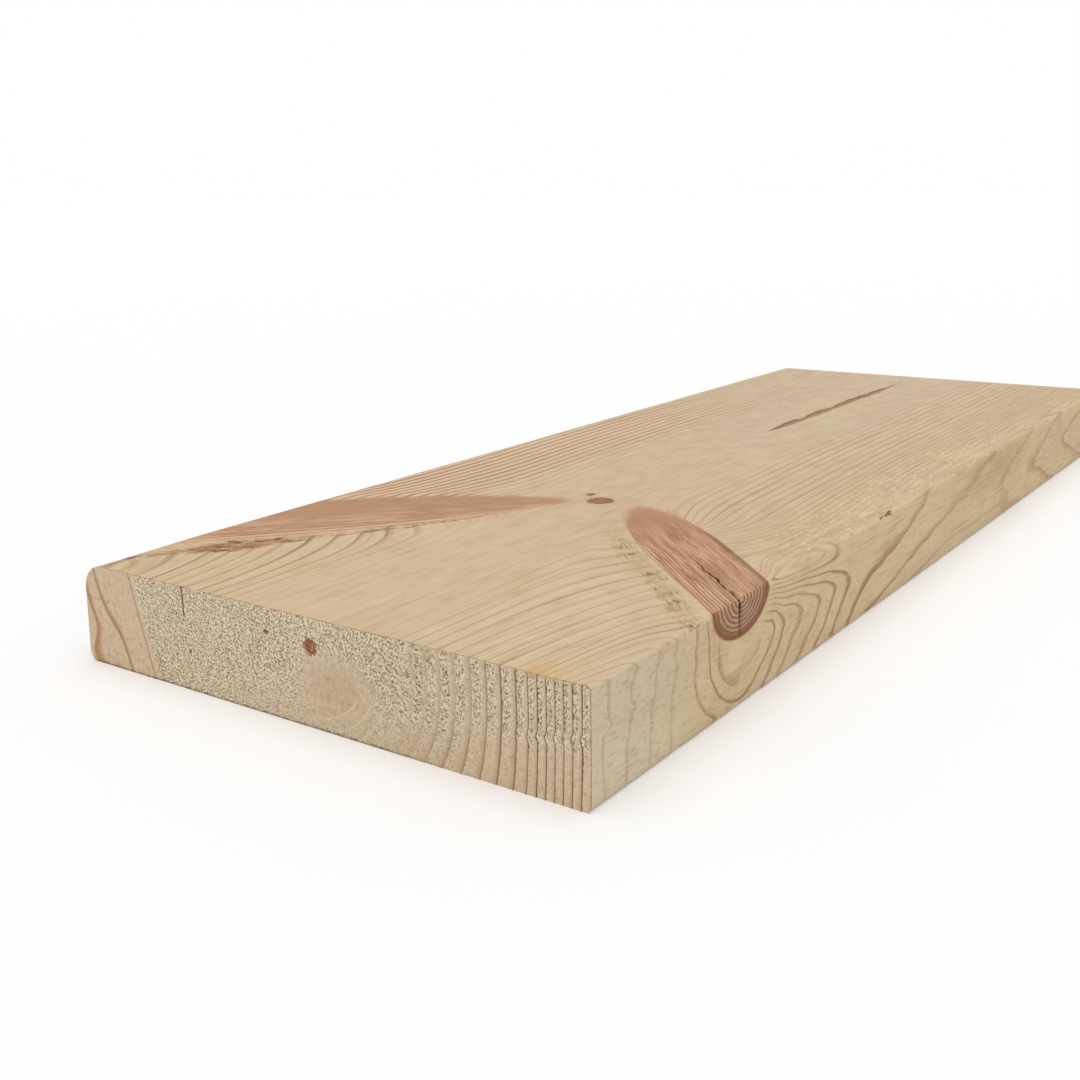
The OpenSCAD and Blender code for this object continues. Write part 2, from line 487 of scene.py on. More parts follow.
def tornWood(colour, wood):
    x, s, z = wood["x"], wood["s"], wood["z"]
    right, left = wood["right"], wood["left"]
    rough = mottle(vector(x * 0.13, s * 0.13, z * 0.13), 3.0, 0.65)
    onRight, onLeft = tornMask(wood, (rough - 0.5) * 15.0)
    # Lifted fibres run along each knot: in bunches on the right, in one rusty patch on the left. Their dark
    # tufts are torn fibre partly darkened as painted shade.
    tear = mottle(vector(right["u"] * 0.16, right["q"] * 0.8, 3.0), 4.0, 0.75)
    bunch = mottle(vector(right["u"] * 0.08, right["q"] * 0.03, 6.0), 1.0)
    fringe = hump(wood["part"], 0.78, 0.5) * ease(bunch, 0.40, 0.56, 0.1, 0.65)
    fringe = fringe + ease(bunch, 0.42, 0.58, 0.1, 0.4)
    onRight = onRight * ease(right["u"], 20.0, 85.0, 0.4, 1.0)
    colour = tint(colour, tornGrain["straw"], onRight * 0.3)
    # Dark tufts: torn fibre with painted shade
    colour = tint(colour, tornGrain["dark"], onRight * ease(tear, 0.42, 0.60) * fringe)
    colour = tint(colour, tornGrain["pale"], onRight * ease(tear, 0.46, 0.34) * 0.5)
    tear = mottle(vector(left["u"] * 0.1, left["q"] * 0.5, 8.0), 3.0, 0.72)
    patch = ease(hump(left["u"], *tornGrain["patch"]), 0.0, 0.5)
    offRidge = left["ridge"] + (rough - 0.5) * 8.0
    line = hump(offRidge, 0.5, 1.7) * ease(left["u"], 8.0, 28.0)
    line = line * ease(z, 28.0, 36.0) * ease(left["q"], 0.0, -5.0)
    colour = tint(colour, tornGrain["ridge"], line * ease(tear, 0.36, 0.56, 0.3, 0.85))
    colour = tint(colour, tornGrain["rust"], onLeft * patch * ease(offRidge, 14.0, 2.0, 0.4, 0.9))
    # Darker towards the ridge: torn fibre with painted shade
    deep = onLeft * ease(tear, 0.46, 0.60) * (patch * 0.3 + 0.6) * ease(offRidge, 12.0, 3.0, 0.3, 1.0)
    colour = tint(colour, tornGrain["deep"], deep)
    return tint(colour, tornGrain["pale"], onLeft * ease(tear, 0.46, 0.34) * 0.35)


# Small marks: pin knots and the pith where it lies open
marks = {
    "pinKnots": ((0.0, 181.2, 5.4, 5.6, 1.0), (-10.0, 189.0, 2.0, 2.4, 0.0)),   # x, s, half sizes, red core
    "pinBody": srgb(144, 104, 66),
    "pinCore": srgb(160, 112, 78),
    "pinRim": srgb(98, 66, 34),
    "pinHalo": srgb(208, 168, 122),
    "streak": (356.0, 596.0, -7.8),     # from, to, x
    "streakBody": srgb(158, 128, 96),
    "streakDark": srgb(120, 84, 56),
}


def smallMarks(colour, wood, fine):
    x, s, z = wood["x"], wood["s"], wood["z"]
    above = ease(wood["dz"], 0.0, 2.0)
    ragged = (fine - 0.5) * 0.7
    for pinX, pinS, halfX, halfS, core in marks["pinKnots"]:
        across = (x - pinX) / halfX
        along = (s - pinS) / halfS
        reach = root(across * across + along * along) + ragged
        colour = tint(colour, marks["pinHalo"], ease(reach, 2.0, 1.0) * above * 0.5)
        body = tint(marks["pinBody"], marks["pinCore"], ease(reach, 0.8, 0.3) * core)
        # One side of the rim is darker: painted shade
        shaded = ease(across + along, -0.8, 0.6, 0.05, 0.45)
        body = tint(body, marks["pinRim"], hump(reach, 0.92, 0.30) * shaded)
        colour = tint(colour, body, ease(reach, 1.12, 0.95) * above)
    start, stop, streakX = marks["streak"]
    swell = mottle(vector(s * 0.045, 0.0, 4.0), 2.0, 0.6)
    aside = x - streakX + (mottle(vector(s * 0.03, 9.0, 0.0), 2.0) - 0.5) * 2.5
    half = ease(s, start - 4.0, start + 40.0) * ease(s, stop, stop - 90.0) * ease(swell, 0.3, 0.6, 2.2, 3.3)
    bared = ease(size(aside) - half, 0.6, -0.5) * ease(z, boardDepth - 2.2, boardDepth - 1.2)
    darker = ease(aside + half, 1.6, 0.2) + ease(fine, 0.55, 0.7) * 0.5
    body = tint(marks["streakBody"], marks["streakDark"], darker)
    return tint(colour, body, bared * ease(s, start - 6.0, start + 20.0) * ease(s, stop, stop - 60.0) * 0.92)


# Near end: sawn fuzz with painted highlights on its crumbs and painted shade in its gaps, ring lines, pith
# and specks
endGrain = {
    "smooth": srgb(208, 178, 146),
    # Crumbs are pale torn fibre with a painted highlight; the colour between them is painted shade
    "crumb": srgb(249, 236, 205),
    "gapShade": srgb(140, 112, 77),
    "left": srgb(222, 196, 164),
    "lateSoft": srgb(186, 148, 114),
    "lateThin": srgb(128, 66, 38),
    "lateLeft": srgb(178, 128, 82),
    "pith": srgb(150, 94, 54),
    "pithCore": srgb(196, 154, 110),
    "foot": srgb(104, 74, 50),      # painted shade along the lower arris, where the board meets the floor
    "specks": ((-14.7, 29.6, 1.3, 0.8), (-54.0, 14.8, 0.7, 0.7)),
    "fuzz": 0.42,           # depth between the crumbs
    "crumbs": (1.35, 2.3),  # crumbs in each millimetre, along and across their slant
    "bareAt": (16.0, 16.0, 15.0, 10.0),     # middle and half sizes of the smooth place under the pith
    "seam": (-84.0, 34.0, 0.27),            # x and z on the dark line at the left, and how it leans
}


def seamSide(x, z):
    # How far right of the leaning line at the left of the end
    seamX, seamZ, lean = endGrain["seam"]
    return x - seamX - (seamZ - z) * lean


def fuzzAmount(x, z):
    # Rough over most of the end, smooth at the left, under the pith and along the lower right
    amount = ease(seamSide(x, z), -1.0, 4.0, 0.05, 1.0)
    bareX, bareZ, halfX, halfZ = endGrain["bareAt"]
    across = (x - bareX) / halfX
    up = (z - bareZ) / halfZ
    bare = ease(root(across * across + up * up), 1.6, 0.2)
    lower = ease(z, 17.0, 4.0) * ease(x, -60.0, 10.0)
    lower = larger(lower * 0.3, ease(z, 21.0, 12.0) * ease(x, 55.0, 78.0) * 0.45)
    return amount * (1.0 - bare * 0.68) * (1.0 - lower)


def fuzz(x, z):
    # Crumbs of torn fibre stand at the saw's plane, and the gaps between them lie deeper
    wood = growth(x, 0.0, z)
    amount = fuzzAmount(x, z)
    # Away from the pith the rings show as bands: rough early wood and smooth late wood
    banded = ease(wood["plain"], 22.0, 60.0) * ease(x, 0.0, 60.0)
    amount *= 1 - 0.45 * banded * ease(fraction(wood["count"]), 0.40, 0.66)
    along, across = endGrain["crumbs"]
    turn = math.radians(ease(x, 20.0, 70.0, 38.0, 80.0))
    a = x * math.cos(turn) + z * math.sin(turn)
    b = z * math.cos(turn) - x * math.sin(turn)
    swirl = noise.noise(Vector((a * along, b * across, 0.0)))
    grit = noise.noise(Vector((x * 2.3, z * 2.3, 4.0)))
    return amount * endGrain["fuzz"] * (0.14 + 0.86 * ease(swirl + grit * 0.45, 0.20, -0.42))


def endWood(colour, wood, fine):
    x, s, z = wood["x"], wood["s"], wood["z"]
    part, year = wood["part"], wood["year"]
    deep = larger(s, 0.0) * (1 / endGrain["fuzz"])
    side = seamSide(x, z)
    amount = fuzzAmount(x, z)
    face = tint(endGrain["left"], endGrain["smooth"], ease(side, -1.0, 4.0) * ease(x, 45.0, 85.0, 1.0, 0.2))
    # Crumbs at the surface are pale torn fibre with a painted highlight, and the deeper gaps between them get
    # painted shade
    crumb = ease(deep, 0.66, 0.25) * ease(fine, 0.34, 0.50, 0.45, 1.0) * amount * amount
    face = tint(face, endGrain["crumb"], crumb * ease(x, -10.0, 90.0, 0.98, 0.78))
    face = tint(face, endGrain["gapShade"], ease(deep, 0.48, 0.92) * 0.92)
    # Fine speckles of painted shade and painted highlight over the fuzz
    fineLightAndShade = mottle(vector(x * 1.9, s * 0.2, z * 1.9), 2.0, 0.7)
    face = tint(face, endGrain["gapShade"], ease(fineLightAndShade, 0.50, 0.68) * amount * ease(x, 10.0, 60.0, 0.25, 0.6))
    face = tint(face, endGrain["crumb"], ease(fineLightAndShade, 0.48, 0.32) * amount * 0.55)
    # Coarser patches of painted shade and painted highlight
    grit = mottle(vector(x * 0.45, s * 0.2, z * 0.45), 3.0, 0.7)
    face = tint(face, endGrain["gapShade"], ease(grit, 0.5, 0.75) * 0.45)
    face = tint(face, endGrain["crumb"], ease(grit, 0.5, 0.25) * 0.45)
    # Rings: soft brown bands, thin dark lines towards the right, wide ones in the left corner
    outer = ease(wood["plain"], 22.0, 60.0) * ease(x, 0.0, 60.0)
    soft = ease(part, 0.45, 0.85) * ease(part, 1.0, 0.97)
    face = tint(face, endGrain["lateSoft"], soft * outer * 0.45)
    scratch = hump(part, 0.9, 0.08) * ease(wood["plain"], 17.0, 23.0) * ease(wood["plain"], 46.0, 36.0)
    face = tint(face, endGrain["crumb"], scratch * ease(z, 20.0, 12.0) * ease(x, 2.0, 14.0) * 0.55)
    thin = ease(part, 0.82, 0.94) * ease(part, 1.0, 0.975)
    lower = ease(z, 22.0, 8.0) * ease(x, 45.0, 70.0) * 0.6
    face = tint(face, endGrain["lateThin"], thin * larger(ease(x, 62.0, 90.0), lower) * (year * 0.4 + 0.7))
    corner = ease(x + 100.5 - (boardDepth - z) * 0.46, 1.0, -1.0)
    broad = ease(part, 0.62, 0.88) * ease(part, 1.0, 0.93)
    face = tint(face, endGrain["lateLeft"], broad * corner * ease(fine, 0.3, 0.6, 0.55, 0.9))
    face = tint(face, endGrain["lateThin"], hump(side, 0.0, 0.6) * 0.5)
    face = tint(face, endGrain["lateThin"], hump(side, 5.2, 0.5) * ease(z, 18.0, 8.0) * 0.35)
    # Painted shade in the slit of the end check
    split = boardShape["endCheck"]
    slit = hump(x, split["x"], 0.6) * ease(z, boardDepth - split["drop"], boardDepth - split["drop"] + 2.0)
    face = tint(face, stainsAndShade["checkLipShade"], slit * 0.85)
    # Painted shade along the lower arris, where the board meets the floor
    foot = ease(z + (grit - 0.5) * 3.0, 1.0, 0.1) * ease(x, 70.0, 30.0)
    face = tint(face, endGrain["foot"], foot * 0.75)
    colour = tint(colour, face, wood["nearEnd"])
    # Pith, with short rays
    reach = root(wood["dx"] * wood["dx"] + wood["dz"] * wood["dz"]) + (fine - 0.5) * 5.0
    pith = tint(endGrain["pith"], endGrain["pithCore"], ease(reach, 1.6, 0.5) * 0.8)
    colour = tint(colour, pith, ease(reach, 3.4, 2.0) * ease(s, 2.2, 1.4))
    for speckX, speckZ, halfX, halfZ in endGrain["specks"]:
        across = (x - speckX) / halfX
        up = (z - speckZ) / halfZ
        mark = ease(across * across + up * up, 1.5, 0.4) * wood["nearEnd"]
        colour = tint(colour, marks["pinRim"], mark * 0.8)
    return colour


# Stains and painted shade: resin at the near right corner, bark in its pocket, painted shade on the walls and
# lips of the checks
stainsAndShade = {
    "resin": srgb(216, 172, 104),
    "resinAt": (95.0, 12.0, 20.0),      # x and reaches across and along
    "bark": srgb(128, 74, 40),
    "barkAt": (223.0, 7.0),             # s and half length
    "cornerStain": srgb(146, 102, 62),
    # Painted shade for the walls and lips of the checks
    "checkWallShade": srgb(58, 36, 26),
    "checkLipShade": srgb(92, 52, 32),
    "fleck": srgb(232, 216, 180),
}


def checkWander(reach):
    # How far aside the check in the right knot strays
    wander = wave(reach * 0.32) * 0.36 + wave(reach * 0.83 + 1.0) * 0.24
    return wander * ease(reach, 0.0, 6.0) * ease(reach, 61.0, 52.0)


# Stains, and painted shade in the checks
def stainAndShadeWood(colour, wood, fine):
    x, s, z = wood["x"], wood["s"], wood["z"]
    resinX, reachX, reachS = stainsAndShade["resinAt"]
    smear = mottle(vector(x * 0.7, s * 0.09, 2.0), 2.0, 0.6)
    resin = hump(x, resinX, reachX) * ease(s, reachS, 0.0) * ease(smear, 0.36, 0.6)
    colour = tint(colour, stainsAndShade["resin"], resin * ease(z, 37.0, 37.8) * 0.9)
    # Pale torn flecks along the far right of the upper face
    fleck = mottle(vector(x * 0.9, s * 0.2, z * 0.3), 2.0, 0.55)
    zone = ease(x, 74.0, 92.0) * ease(s, 110.0, 180.0) * ease(s, 470.0, 380.0) * ease(z, 37.0, 37.8)
    colour = tint(colour, stainsAndShade["fleck"], ease(fleck, 0.56, 0.64) * zone * 0.6)
    barkS, halfBark = stainsAndShade["barkAt"]
    dish = larger(size((s - barkS) / halfBark), larger((edgeX - x) * 0.5, (boardDepth - z) * 0.55))
    colour = tint(colour, stainsAndShade["bark"], ease(dish + (fine - 0.5) * 0.9, 1.0, 0.7))
    far = (boardLength - s) * 0.06 + (edgeX - x) * 0.06 + (fine - 0.5) * 0.8
    colour = tint(colour, stainsAndShade["cornerStain"], ease(far, 1.2, 0.3) * 0.75)
    # Painted shade on the lips and walls of the check in the right knot and on the walls of the one in the
    # near end
    check = boardShape["knotCheck"]
    aside = (x - edgeX) * check["across"][0] + (s - check["mouth"]) * check["across"][1]
    reach = (x - edgeX) * check["along"][0] + (s - check["mouth"]) * check["along"][1]
    lip = size(aside - checkWander(reach) * ease(edgeX - x, 0.0, 3.0)) - hump(reach, 22.0, 22.0) * 0.4 - 0.05
    lip = ease(lip, 0.4, -0.1) * ease(reach, 2.0, 7.0) * ease(reach, 50.0, 40.0) * ease(z, 37.0, 37.6)
    colour = tint(colour, stainsAndShade["checkLipShade"], lip * ease(fine, 0.3, 0.5, 0.5, 0.95))
    sunk = ease(boardDepth - z, 0.3, 1.2) * ease(edgeX - x, 0.3, 1.2)
    wall = ease(size(aside), 2.6, 2.0) * sunk * ease(z, 22.0, 24.0) * ease(x, 66.0, 69.0)
    colour = tint(colour, stainsAndShade["checkWallShade"], wall)
    split = boardShape["endCheck"]
    slot = ease(size(x - split["x"]), 1.0, 0.7) * ease(s, 0.8, 1.8) * ease(s, 12.0, 10.5)
    slot = slot * ease(boardDepth - z, 0.2, 0.8) * ease(z, 26.0, 27.0)
    return tint(colour, stainsAndShade["checkWallShade"], slot * 0.9)


def softwood():
    made = bpy.data.materials.new("sawnSoftwood")
    made.use_nodes = True
    Flow.tree = made.node_tree
    shader = made.node_tree.nodes["Principled BSDF"]
    here = Flow.node("ShaderNodeTexCoord", {}, {}, "Object")
    split = Flow.node("ShaderNodeSeparateXYZ", {}, {0: here}).socket.node
    x, y, z = (Flow(split.outputs[axis]) * (1 / mm) for axis in "XYZ")
    s = y + -lowCorner[1] / mm

    patch = mottle(vector(x * 0.016, s * 0.006, z * 0.016))
    blotch = mottle(vector(x * 0.14, s * 0.06, z * 0.14), 3.0, 0.65)
    waver = mottle(vector(x * 0.05, s * 0.035, z * 0.075), 1.0)
    sway = (patch - 0.5) * ease(s, 0.0, 60.0, 0.0, 3.0) + (waver - 0.5) * ease(x, 109.0, 112.0, 0.0, 2.6)
    wood = growth(x, s, z, sway)
    wood["nearEnd"] = ease(s, 0.85, 0.6)
    fibre = mottle(vector(wood["r"] * 1.3, s * 0.02, z * 0.9), 3.0, 0.65)
    fine = mottle(vector(x * 1.2, s * 0.9, z * 1.2), 2.0, 0.6)
    right, left = wood["right"], wood["left"]
    # Clear strips lie between each knot and its ridge
    strip = ease(right["ridge"], 0.0, -4.0) * ease(right["q"], 0.0, -5.0) * ease(right["u"], 10.0, 34.0)
    strip = strip * ease(z, 36.4, 37.4)
    stripLeft = ease(left["ridge"], 0.0, -4.0) * ease(left["q"], 0.0, -5.0) * ease(left["u"], 8.0, 28.0)
    stripLeft = stripLeft * ease(z, 28.0, 36.0)

    colour = bareWood(wood, fibre, patch, blotch)
    across = right["q"] * 0.8 + left["q"] * 0.6
    along = right["u"] * 0.04 + left["u"] * 0.02
    stripFibre = mottle(vector(across, along, 7.0), 3.0, 0.65)
    colour = tint(colour, tornGrain["strip"], strip * 0.5)
    colour = tint(colour, tornGrain["stripLeft"], stripLeft * 0.5)
    between = larger(strip, stripLeft)
    colour = tint(colour, woodColours["fibreDark"], between * ease(stripFibre, 0.48, 0.66) * 0.55)
    colour = tint(colour, woodColours["fibrePale"], between * ease(stripFibre, 0.48, 0.32) * 0.6)
    colour = ringLines(colour, wood, patch, fibre, 1.0 - between)
    colour = tornWood(colour, wood)
    colour = leftKnotWood(colour, wood)
    colour = rightKnotWood(colour, wood)
    colour = smallMarks(colour, wood, fine)
    colour = endWood(colour, wood, fine)
    colour = stainAndShadeWood(colour, wood, fine)
    Flow.tree.links.new(colour.socket, shader.inputs["Base Color"])

    streaks = mottle(vector(x * 1.5, s * 0.04, z * 1.5), 3.0, 0.6)
    height = streaks * 0.35 + fine * 0.2
    relief = Flow.node("ShaderNodeBump", {}, {"Strength": 0.6, "Distance": mm, "Height": height})
    Flow.tree.links.new(relief.socket, shader.inputs["Normal"])
    rough = ease(streaks, 0.3, 0.7, 0.6, 0.74) + wood["nearEnd"] * 0.15
    Flow.tree.links.new(rough.socket, shader.inputs["Roughness"])
    shader.inputs["Specular IOR Level"].default_value = 0.2
    return made


# Board shape: arrises, checks and hollows as in the frame, plus the relief of the sawn faces
boardShape = {
    # Side, upper or lower, radius and segments of each long arris
    "arrises": ((-1, 1, 9.0, 8), (-1, 0, 4.0, 5), (1, 1, 1.5, 3), (1, 0, 2.0, 3)),
    "lengthCuts": 199,      # cuts along the board
    "upperCuts": 74,        # cuts across the upper face
    "lowerCuts": 18,
    "edgeCuts": 12,         # cuts up each edge
    "fineCuts": 3,
    "endPitch": 0.43,       # cell size on the near end
    "farPitch": 1.6,        # cell size on the far end
    "knotCheck": {"mouth": 90.0, "length": 57.0, "width": 1.4, "depth": 13.5, "turn": 18.0,
                  "along": (-0.7314, 0.6820), "across": (0.6820, 0.7314)},
    "endCheck": {"x": -56.0, "drop": 11.0, "half": 0.25, "run": 9.0, "lip": 1.8},
    "pithHollow": {"at": (5.5, 28.3), "mouth": 5.0, "depth": 1.2},
    "pithGroove": {"from": 356.0, "length": 218.0, "x": -8.4, "width": 6.0, "depth": 0.8},
    "barkPocket": {"at": 223.0, "length": 14.0, "depth": 1.6, "arris": 1.5},
    "farRelief": 0.35,      # depth of the saw marks on the far end
    "rub": (0.28, 5.0),     # depth and reach of the wear on the long arrises
    "lean": (2.4, 60.0),    # how far the left edge leans in at the near end, and over what length
}


def dishRadius(mouth, depth):
    return (mouth * mouth / 4 + depth * depth) / (2 * depth)


def cutAcross(bm, faces, axis, places):
    # Slices the faces in turn and goes on with what lies past each cut
    rest = list(faces)
    made = []
    for place in places:
        edges = {edge for face in rest for edge in face.edges}
        verts = {vert for face in rest for vert in face.verts}
        cut = bmesh.ops.bisect_plane(bm, geom=[*rest, *edges, *verts], dist=0.02,
                                     plane_co=axis * place, plane_no=axis)
        faces = [item for item in cut["geom"] if isinstance(item, bmesh.types.BMFace)]
        rest = [face for face in faces if face.calc_center_median().dot(axis) > place]
        made += [face for face in faces if face.calc_center_median().dot(axis) <= place]
    return made + rest


def sliceEnd(bm, level, pitch):
    faces = [face for face in bm.faces
             if abs(face.normal.y) > 0.99 and abs(face.calc_center_median().y - level) < 0.1]
    rows = int(boardDepth / pitch)
    heights = [boardDepth * (row + 0.5) / rows for row in range(rows)]
    faces = cutAcross(bm, faces, Vector((0, 0, 1)), heights)
    columns = int(boardWidth / pitch)
    places = [boardWidth * (column + 0.5) / columns - edgeX for column in range(columns)]
    return cutAcross(bm, faces, Vector((1, 0, 0)), places)


def plankMesh():
    shape = boardShape
    bm = bmesh.new()
    bmesh.ops.create_cube(bm, size=1.0)
    bmesh.ops.scale(bm, vec=(boardWidth, boardLength, boardDepth), verts=bm.verts)
    bmesh.ops.translate(bm, vec=(0, boardLength / 2, boardDepth / 2), verts=bm.verts)
    for sideX, upper, radius, segments in shape["arrises"]:
        corner = Vector((sideX * edgeX, boardLength / 2, upper * boardDepth))
        edge = [e for e in bm.edges if ((e.verts[0].co + e.verts[1].co) / 2 - corner).length < 0.01]
        bmesh.ops.bevel(bm, geom=edge, offset=radius, affect="EDGES", segments=segments,
                        profile=0.5, material=-1)

    def subdivide(axis, cuts, test):
        edges = [e for e in bm.edges if abs((e.verts[1].co - e.verts[0].co)[axis]) > 20.0
                 and test(e.verts[0].co) and test(e.verts[1].co)]
        bmesh.ops.subdivide_edges(bm, edges=edges, cuts=cuts, use_grid_fill=True)

    subdivide(1, shape["lengthCuts"], lambda co: True)
    subdivide(0, shape["upperCuts"], lambda co: co.z > boardDepth - 0.01)
    subdivide(0, shape["lowerCuts"], lambda co: co.z < 0.01)
    subdivide(2, shape["edgeCuts"], lambda co: abs(co.x) > edgeX - 0.01)
    print("grid:", len(bm.faces), "faces")

    # Finer cells where the grain is torn, along the pith groove and round the bark pocket
    bm.normal_update()
    fine = set()
    groove, pocket = shape["pithGroove"], shape["barkPocket"]
    for face in bm.faces:
        x, s, z = face.calc_center_median()
        if face.normal.z > 0.9:
            torn = max(tornMask(growth(x, s, z))) > 0.0
            along = s - groove["from"]
            opened = abs(x - groove["x"]) < groove["width"] * 0.8 and -6.0 < along < groove["length"] + 6.0
            if torn or opened:
                fine.add(face)
        if abs(s - pocket["at"]) < pocket["length"] * 0.6 and x > edgeX - 6.0 and z > boardDepth - 6.0:
            fine.add(face)
    edges = list({edge for face in fine for edge in face.edges})
    bmesh.ops.subdivide_edges(bm, edges=edges, cuts=shape["fineCuts"], use_grid_fill=True)
    print("fine cells:", len(bm.faces), "faces")

    ends = sliceEnd(bm, 0.0, shape["endPitch"]) + sliceEnd(bm, boardLength, shape["farPitch"])
    for face in bm.faces:
        face.smooth = True
    for edge in {edge for face in ends for edge in face.edges}:
        if any(abs(other.normal.y) < 0.9 for other in edge.link_faces):
            edge.smooth = False
    print("ends cut:", len(bm.faces), "faces")
    knotCheck(bm)
    carve(bm)
    wornArrises(bm)
    return bm


def knotCheck(bm):
    # A wedge that opens on the upper face and over the arris: cut its outline, then sink its middle
    check = boardShape["knotCheck"]
    along = Vector((*check["along"], 0))
    across = Vector((*check["across"], 0))
    mouth = Vector((edgeX, check["mouth"], boardDepth))
    tip = mouth + along * check["length"]
    half = check["width"] / 2
    up = Vector((0, 0, 1))
    foot = mouth - up * check["depth"]

    def local(test):
        picked = []
        for face in bm.faces:
            off = face.calc_center_median() - mouth
            if abs(off.dot(across)) < 4.0 and test(face, off):
                picked.append(face)
        edges = {edge for face in picked for edge in face.edges}
        verts = {vert for face in picked for vert in face.verts}
        return [*picked, *edges, *verts]

    def onUpper(face, off):
        return off.z > -1.0 and -2.0 < off.dot(along) < check["length"] + 1.0

    def onEdge(face, off):
        return off.x > -0.01 and -check["depth"] - 1.0 < off.z <= -1.0 and face.normal.x > 0.9

    for sideways in (-half, 0.0, half):
        reach = mouth + across * sideways - tip
        bmesh.ops.bisect_plane(bm, geom=local(onUpper), dist=0.01, plane_co=tip,
                               plane_no=reach.cross(up).normalized())
        rise = mouth + across * sideways - foot
        bmesh.ops.bisect_plane(bm, geom=local(onEdge), dist=0.01, plane_co=foot,
                               plane_no=rise.cross(along).normalized())
    for vert in bm.verts:
        off = vert.co - mouth
        if abs(off.dot(across)) > 0.02 or off.z < -check["depth"] or (off.z < -2.0 and off.x < -0.01):
            continue
        part = max(off.dot(along), 0.0) / check["length"] + off.z / check["depth"]
        if -0.98 < part < 0.98:
            # The middle line drops to the wedge's foot, which climbs from the edge to the tip
            turn = check["turn"]
            reach = turn + (check["length"] - turn) * part if part > 0 else turn * (1 + part)
            vert.co = foot + (tip - foot) * (reach / check["length"])
    # The check wanders a little
    for vert in bm.verts:
        off = vert.co - mouth
        reach, aside = off.dot(along), abs(off.dot(across))
        if aside < 6.0 and -2.0 < reach < check["length"] + 4.0 and off.z > -16.0:
            vert.co += across * checkWander(reach) * ease(aside, 6.0, 1.5) * ease(off.x, 0.0, -3.0)


def carve(bm):
    shape = boardShape
    hollow, pocket = shape["pithHollow"], shape["barkPocket"]
    groove, slit = shape["pithGroove"], shape["endCheck"]
    hollowRadius = dishRadius(hollow["mouth"], hollow["depth"])
    hollowAt = Vector((hollow["at"][0], hollow["depth"] - hollowRadius, hollow["at"][1]))
    pocketRadius = dishRadius(pocket["length"], pocket["depth"])
    out = (pocketRadius - pocket["depth"] - pocket["arris"] * (math.sqrt(2) - 1)) / math.sqrt(2)
    pocketAt = Vector((edgeX + out, pocket["at"], boardDepth + out))
    slitFoot = boardDepth - slit["drop"]
    for vert in bm.verts:
        x, s, z = vert.co
        if s < 0.001:
            vert.co.y += fuzz(x, z)
            # The end check is a slot that closes inwards
            if z > slitFoot and abs(x - slit["x"]) < slit["half"]:
                onFace = z < boardDepth - 0.01
                vert.co.y += slit["run"] * ease(z, slitFoot, slitFoot + 3.0) if onFace else slit["lip"]
        elif s > boardLength - 0.001:
            vert.co.y -= shape["farRelief"] * abs(noise.noise(Vector((x * 0.35, z * 0.35, 3.0))))
        elif z > boardDepth - 0.01 and s > 2.0:
            part = (s - groove["from"]) / groove["length"]
            if 0 < part < 1:
                half = groove["width"] / 2 * math.sin(math.pi * part) ** 0.6
                half *= 1 - 0.15 * (1 + math.sin(10 * math.pi * part)) / 2
                vert.co.z -= groove["depth"] * ease(abs(x - groove["x"]), half + 0.3, half - 0.9)
            torn = max(tornMask(growth(x, s, z)))
            if torn > 0:
                rough = abs(noise.noise(Vector((x * 0.5, s * 0.5, 1.0))))
                vert.co.z -= tornGrain["relief"] * torn * min(rough * 2.2, 1.0)
        for centre, radius in ((hollowAt, hollowRadius), (pocketAt, pocketRadius)):
            off = vert.co - centre
            if off.length < radius:
                vert.co = centre + off.normalized() * radius


def wornArrises(bm):
    # The long arrises are chipped and rubbed a little, and the left edge leans in at the near end
    lean, leanLength = boardShape["lean"]
    rubDepth, rubReach = boardShape["rub"]
    for vert in bm.verts:
        x, s, z = vert.co
        vert.co.x += lean * z / boardDepth * ease(s, leanLength, 0.0) * ease(x, -92.0, -110.0)
        if not 2.0 < s < boardLength - 2.0:
            continue
        for side in (-1, 1):
            for level in (0.0, boardDepth):
                reach = math.hypot(x - side * edgeX, z - level)
                if reach < rubReach:
                    rub = noise.noise(Vector((s * 0.09, side * 5.0, level)))
                    rub += 0.6 * noise.noise(Vector((s * 0.4, level, side)))
                    rub = max(rub, 0.0) * rubDepth * ease(reach, rubReach, 1.0)
                    vert.co.x -= side * rub
                    vert.co.z += rub if level == 0.0 else -rub


def finishMesh(bm, name, material):
    bmesh.ops.scale(bm, vec=(mm, mm, mm), verts=bm.verts)
    bmesh.ops.translate(bm, vec=(0, lowCorner[1], 0), verts=bm.verts)
    bmesh.ops.triangulate(bm, faces=[face for face in bm.faces if len(face.verts) > 4])
    mesh = bpy.data.meshes.new(name)
    bm.to_mesh(mesh)
    bm.free()
    mesh.materials.append(material)
    piece = bpy.data.objects.new(name, mesh)
    bpy.context.collection.objects.link(piece)
    return piece


plank = finishMesh(plankMesh(), "sawnPlank", softwood())
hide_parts("plank")
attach(plank, "root")
plank.data.calc_loop_triangles()
print("plank:", len(plank.data.polygons), "faces,", len(plank.data.loop_triangles), "triangles")

